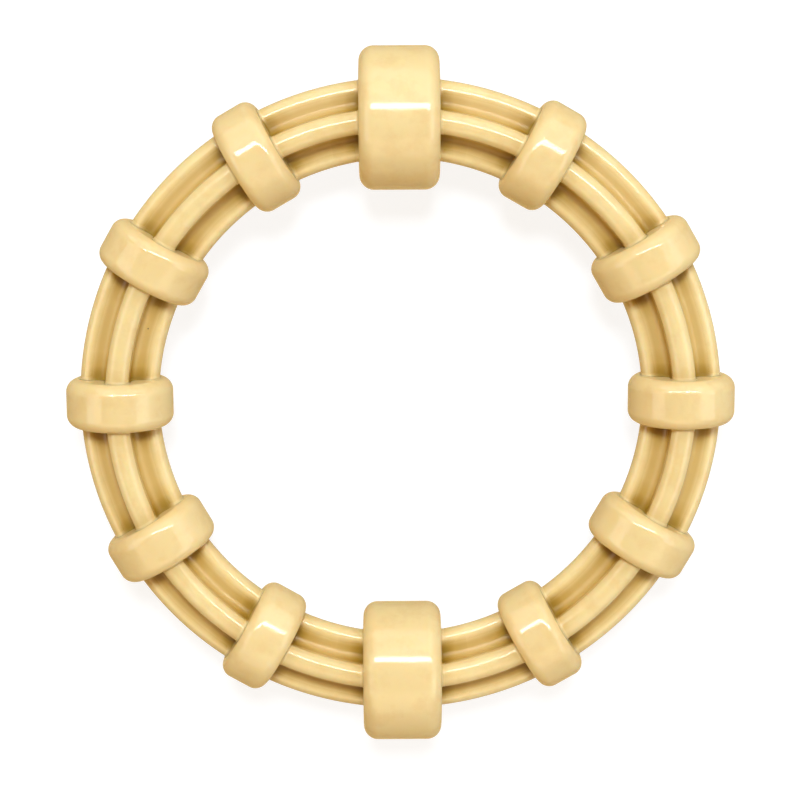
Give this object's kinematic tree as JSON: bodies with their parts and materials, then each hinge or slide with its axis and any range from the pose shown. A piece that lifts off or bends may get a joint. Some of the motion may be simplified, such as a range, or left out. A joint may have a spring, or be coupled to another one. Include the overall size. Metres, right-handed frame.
{
  "type": "nylon chew ring",
  "caption": "Glossy cream nylon chew ring for a dog: a hoop of ribbed bar carrying evenly spaced round collars, with a wider collar at top and bottom.",
  "frame": {"origin": "on the ring's axis, on the plane that the ring rests on when it lies flat", "axes": "+Z along the ring's axis, up; +Y towards the wide collar at 12 o'clock; +X towards the collar at 3 o'clock"},
  "size_m": [0.1332, 0.14, 0.028],
  "materials": {
    "nylon_hoop": "glossy moulded nylon, cream",
    "nylon_collar": "glossy moulded nylon, cream"
  },
  "bodies": {
    "root": {"hoop_half_left": "nylon_hoop", "hoop_half_right": "nylon_hoop", "wide_collar_12_oclock": "nylon_collar", "wide_collar_6_oclock": "nylon_collar", "narrow_collar_1_oclock": "nylon_collar", "narrow_collar_2_oclock": "nylon_collar", "narrow_collar_3_oclock": "nylon_collar", "narrow_collar_4_oclock": "nylon_collar", "narrow_collar_5_oclock": "nylon_collar", "narrow_collar_7_oclock": "nylon_collar", "narrow_collar_8_oclock": "nylon_collar", "narrow_collar_9_oclock": "nylon_collar", "narrow_collar_10_oclock": "nylon_collar", "narrow_collar_11_oclock": "nylon_collar"}
  },
  "joints": []
}
